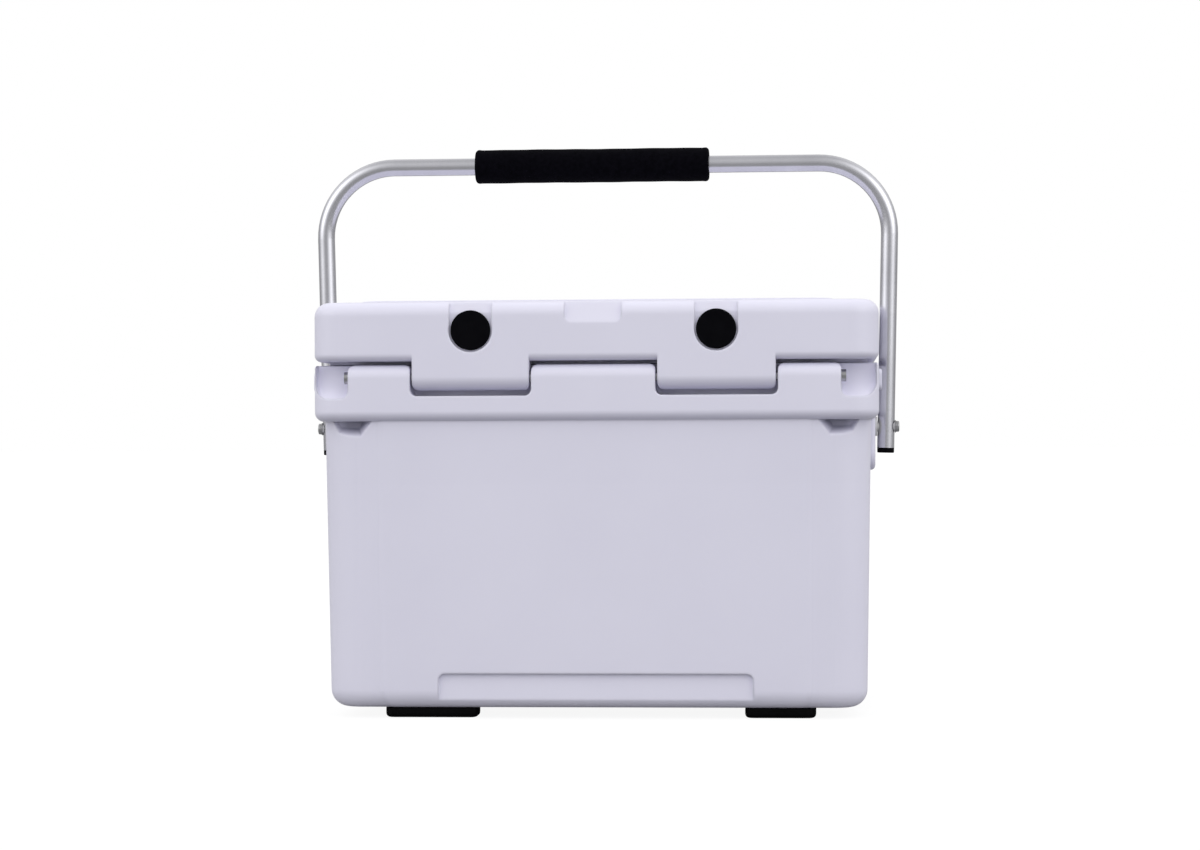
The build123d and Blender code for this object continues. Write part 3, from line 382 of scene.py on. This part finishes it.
# ------------------------------------------------------------------ mesh helpers
def add_object(name, mesh, material):
    """Put a smooth-shaded mesh in the scene."""
    item = bpy.data.objects.new(name, mesh)
    scene.collection.objects.link(item)
    mesh.materials.clear()
    mesh.materials.append(material)
    for face in mesh.polygons:
        face.use_smooth = True
    return item


def register(item, piece, rides_with):
    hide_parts(piece)
    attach(item, rides_with)


def add_moulded(name, piece, material, voxel, smoothing_rounds):
    """A copy of a CAD solid, remeshed evenly and then relaxed so its edges round off."""
    source = bpy.data.objects.new(name, nodes[piece].data.copy())
    scene.collection.objects.link(source)
    weld = source.modifiers.new("weld", "WELD")
    weld.merge_threshold = 1e-6
    remesh = source.modifiers.new("remesh", "REMESH")
    remesh.mode = "VOXEL"
    remesh.voxel_size = voxel
    smooth = source.modifiers.new("smooth", "SMOOTH")
    smooth.factor = 0.5
    smooth.iterations = smoothing_rounds
    bpy.context.view_layer.update()
    evaluated = source.evaluated_get(bpy.context.evaluated_depsgraph_get())
    mesh = bpy.data.meshes.new_from_object(evaluated)
    bpy.data.objects.remove(source)
    mesh.name = name
    return add_object(name, mesh, material)


def add_skin(name, rings, material, joined=False):
    """A skin through equally long closed rings of points; joined links last ring to first."""
    count = len(rings[0])
    faces = []
    for i in range(len(rings) if joined else len(rings) - 1):
        this = i * count
        following = ((i + 1) % len(rings)) * count
        for k in range(count):
            k2 = (k + 1) % count
            faces.append((this + k, this + k2, following + k2, following + k))
    mesh = bpy.data.meshes.new("rings")
    mesh.from_pydata([point for ring in rings for point in ring], [], faces)
    mesh.update()
    item = add_object(name, mesh, material)
    work = bmesh.new()
    work.from_mesh(mesh)
    bmesh.ops.recalc_face_normals(work, faces=work.faces)
    work.to_mesh(mesh)
    work.free()
    return item


# ------------------------------------------------------------------ foam grip
GRIP_BORE = 0.00763             # radius of the hole
GRIP_EDGE = 0.0032              # rounding of the outer end edges
GRIP_EDGE_STEPS = 6
GRIP_LENGTH_STEPS = 70
GRIP_SEGMENTS = 96
GRIP_SHRINK = 0.00018           # mean inset of the uneven surface


def grip_unevenness(x, angle):
    return (0.00010 * math.sin(angle * 3 + x * 61)
            + 0.00008 * math.sin(x * 190 + 2 * angle) - GRIP_SHRINK)


def build_grip():
    low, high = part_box("handle_grip")
    centre_y, centre_z = (low.y + high.y) / 2, (low.z + high.z) / 2
    radius = (high.z - low.z) / 2

    # one end, from the bore outwards: distance in from the end, radius
    end = [(0.004, GRIP_BORE), (0.0006, GRIP_BORE + 0.0002), (0.0, GRIP_BORE + 0.0010)]
    for k in range(GRIP_EDGE_STEPS + 1):
        angle = math.pi / 2 * k / GRIP_EDGE_STEPS
        end.append((GRIP_EDGE - GRIP_EDGE * math.cos(angle),
                    radius - GRIP_EDGE + GRIP_EDGE * math.sin(angle)))
    straight = high.x - low.x - 2 * GRIP_EDGE
    profile = [(low.x + inset, r) for inset, r in end]
    for k in range(1, GRIP_LENGTH_STEPS):
        profile.append((low.x + GRIP_EDGE + straight * k / GRIP_LENGTH_STEPS, radius))
    profile += [(high.x - inset, r) for inset, r in reversed(end)]

    rings = []
    for i, (x, ring_radius) in enumerate(profile):
        uneven = len(end) <= i < len(profile) - len(end)
        ring = []
        for k in range(GRIP_SEGMENTS):
            angle = 2 * math.pi * k / GRIP_SEGMENTS
            r = ring_radius + (grip_unevenness(x, angle) if uneven else 0.0)
            ring.append((x, centre_y + r * math.cos(angle), centre_z + r * math.sin(angle)))
        rings.append(ring)
    register(add_skin("grip_foam", rings, foam), "handle_grip", "handle")


build_grip()

# ------------------------------------------------------------------ latches and feet
for side in ("left", "right"):
    latch = f"latch_{side}"
    strap = add_moulded(
        f"latch_rubber_{side}", latch, latch_rubber, voxel=0.0006, smoothing_rounds=10)
    register(strap, latch, latch)
for foot in FEET:
    pad = add_moulded(
        foot.replace("foot", "foot_pad"), foot, rubber, voxel=0.0008, smoothing_rounds=6)
    register(pad, foot, "tub")

# ------------------------------------------------------------------ gasket
GASKET_WIDTH = 0.0094
GASKET_INSET = 0.0002           # kept inside the CAD gasket's outline
GASKET_CORNER = 0.025           # corner radius of the strip's middle line
GASKET_CORNER_STEPS = 12
GASKET_SECTION_POINTS = 40
GASKET_SQUARENESS = 0.55        # exponent: 1 is an ellipse, lower is squarer
RIB_COUNT, RIB_HEIGHT = 3, 0.0005


def squared(value):
    return math.copysign(abs(value) ** GASKET_SQUARENESS, value)


def build_gasket():
    """A ribbed strip round the lid's underside."""
    low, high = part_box("lid_gasket")
    section = []                # offset across the strip, z
    for k in range(GASKET_SECTION_POINTS):
        angle = 2 * math.pi * (k / GASKET_SECTION_POINTS)
        across = squared(math.cos(angle)) * GASKET_WIDTH / 2
        z = (high.z + low.z) / 2 + squared(math.sin(angle)) * 0.5 * (high.z - low.z)
        if math.sin(angle) < 0:
            phase = across / GASKET_WIDTH * 2 * math.pi * RIB_COUNT
            z += RIB_HEIGHT * (0.5 - 0.5 * math.cos(phase))
        section.append((across, z))

    margin = GASKET_WIDTH / 2 + GASKET_INSET + GASKET_CORNER
    corner_x = (high.x - low.x) / 2 - margin
    corner_y = (high.y - low.y) / 2 - margin
    rings = []
    for quarter, (sign_x, sign_y) in enumerate(((1, 1), (-1, 1), (-1, -1), (1, -1))):
        for k in range(GASKET_CORNER_STEPS + 1):
            angle = math.radians(90 * quarter + 90 * k / GASKET_CORNER_STEPS)
            rings.append([
                (sign_x * corner_x + (GASKET_CORNER + across) * math.cos(angle),
                 sign_y * corner_y + (GASKET_CORNER + across) * math.sin(angle), z)
                for across, z in section])
    gasket = add_skin("gasket_strip", rings, rubber, joined=True)
    register(gasket, "lid_gasket", "lid")


build_gasket()

# ------------------------------------------------------------------ floor
FLOOR_HALF = 40.0
FLOOR_LIT = 0.36                # grey that bounces light onto the box
FLOOR_SEEN = 0.11               # grey the camera sees
FLOOR_GLOW = 0.915              # emission, for the camera only


def pale_floor():
    finish = Finish("pale_floor")
    finish.set("Roughness", 0.9)
    finish.set("Specular IOR Level", 0.0)
    finish.set("Emission Color", (1, 1, 1, 1))
    seen = finish.add("LightPath").outputs["Is Camera Ray"]
    finish.set("Base Color", finish.mix_colour(
        factor=seen, first=(FLOOR_LIT, FLOOR_LIT, FLOOR_LIT, 1),
        second=(FLOOR_SEEN, FLOOR_SEEN, FLOOR_SEEN, 1)))
    finish.set("Emission Strength", finish.math("MULTIPLY", seen, FLOOR_GLOW))
    return finish.material


floor_mesh = bpy.data.meshes.new("floor")
floor_corners = [(x * FLOOR_HALF, y * FLOOR_HALF, 0)
                 for x, y in ((-1, -1), (1, -1), (1, 1), (-1, 1))]
floor_mesh.from_pydata(floor_corners, [], [(0, 1, 2, 3)])
floor = bpy.data.objects.new("studio_floor", floor_mesh)
scene.collection.objects.link(floor)
floor_mesh.materials.append(pale_floor())

# ------------------------------------------------------------------ light
# Lobes of soft light: azimuth (0 over +Y, 90 over -X), elevation, spread in degrees; strength
AMBIENT = 0.345
LOBES = (
    (-58, 27, 24, 1.40),
    (56, 27, 24, 1.50),
    (0, 66, 26, 0.35),
    (142, 36, 26, 0.75),
    (-142, 36, 26, 0.75),
)
# what glossy rays see instead, on a darker surround
MIRROR_AMBIENT = 0.20
MIRROR_LOBES = (
    (0, 8, 62, 0.22),
    (-57, 24, 20, 2.10),
    (57, 24, 20, 2.30),
    (0, 74, 20, 0.16),
    (180, 40, 30, 0.30),
    (128, 40, 22, 0.55),
    (-128, 40, 22, 0.55),
)


def build_world():
    world = bpy.data.worlds.new("studio")
    scene.world = world
    sky = NodeTree(world)
    direction = sky.add("TexCoord").outputs["Generated"]
    path = sky.add("LightPath")
    glossy = path.outputs["Is Glossy Ray"]

    def lobe(azimuth, elevation, spread, strength):
        turn, rise = math.radians(azimuth), math.radians(elevation)
        dot = sky.add("VectorMath", operation="DOT_PRODUCT")
        sky.feed(dot.inputs[0], direction)
        dot.inputs[1].default_value = (
            -math.sin(turn) * math.cos(rise), math.cos(turn) * math.cos(rise), math.sin(rise))
        off_axis = sky.math("SUBTRACT", dot.outputs["Value"], 1.0)
        power = sky.math("MULTIPLY", off_axis, 1.0 / math.radians(spread) ** 2)
        return sky.math("MULTIPLY", sky.math("EXPONENT", power), strength)

    def glow(ambient, lobes):
        total = ambient
        for values in lobes:
            total = sky.math("ADD", lobe(*values), total)
        return total

    def background(strength):
        node = sky.add("Background")
        node.inputs["Color"].default_value = (1, 1, 1, 1)
        sky.feed(node.inputs["Strength"], strength)
        return node.outputs[0]

    soft = sky.math("MULTIPLY", glow(AMBIENT, LOBES), sky.math("SUBTRACT", 1.0, glossy))
    mirror = sky.math("MULTIPLY", glow(MIRROR_AMBIENT, MIRROR_LOBES), glossy)
    mix = sky.add("MixShader")
    sky.feed(mix.inputs["Fac"], path.outputs["Is Camera Ray"])
    sky.feed(mix.inputs[1], background(sky.math("ADD", soft, mirror)))
    sky.feed(mix.inputs[2], background(1.0))    # the camera sees plain white
    sky.feed(sky.add("OutputWorld").inputs["Surface"], mix.outputs[0])


build_world()

# ------------------------------------------------------------------ camera
CAMERA_PLACE = (-0.1993, 2.6423, 0.2432)
CAMERA_YAW = math.radians(4.446)        # from -Y towards +X
CAMERA_PITCH = math.radians(0.157)      # upwards
CAMERA_ROLL = math.radians(-0.266)
SENSOR_WIDTH, LENS = 36.0, 88.5         # millimetres


def build_camera():
    forward = Vector((
        math.sin(CAMERA_YAW) * math.cos(CAMERA_PITCH),
        -math.cos(CAMERA_YAW) * math.cos(CAMERA_PITCH),
        math.sin(CAMERA_PITCH)))
    level_right = Vector((-math.cos(CAMERA_YAW), -math.sin(CAMERA_YAW), 0))
    level_up = level_right.cross(forward)
    right = level_right * math.cos(CAMERA_ROLL) + level_up * math.sin(CAMERA_ROLL)
    up = -level_right * math.sin(CAMERA_ROLL) + level_up * math.cos(CAMERA_ROLL)
    data = bpy.data.cameras.new("camera")
    data.sensor_fit = "HORIZONTAL"
    data.sensor_width = SENSOR_WIDTH
    data.lens = LENS
    data.clip_end = 200.0
    camera = bpy.data.objects.new("camera", data)
    scene.collection.objects.link(camera)
    axes = zip(right, up, -forward, CAMERA_PLACE)
    camera.matrix_world = Matrix((*axes, (0, 0, 0, 1)))
    scene.camera = camera


build_camera()
scene.view_settings.view_transform = "Standard"

# ------------------------------------------------------------------ final update
bpy.context.view_layer.update()
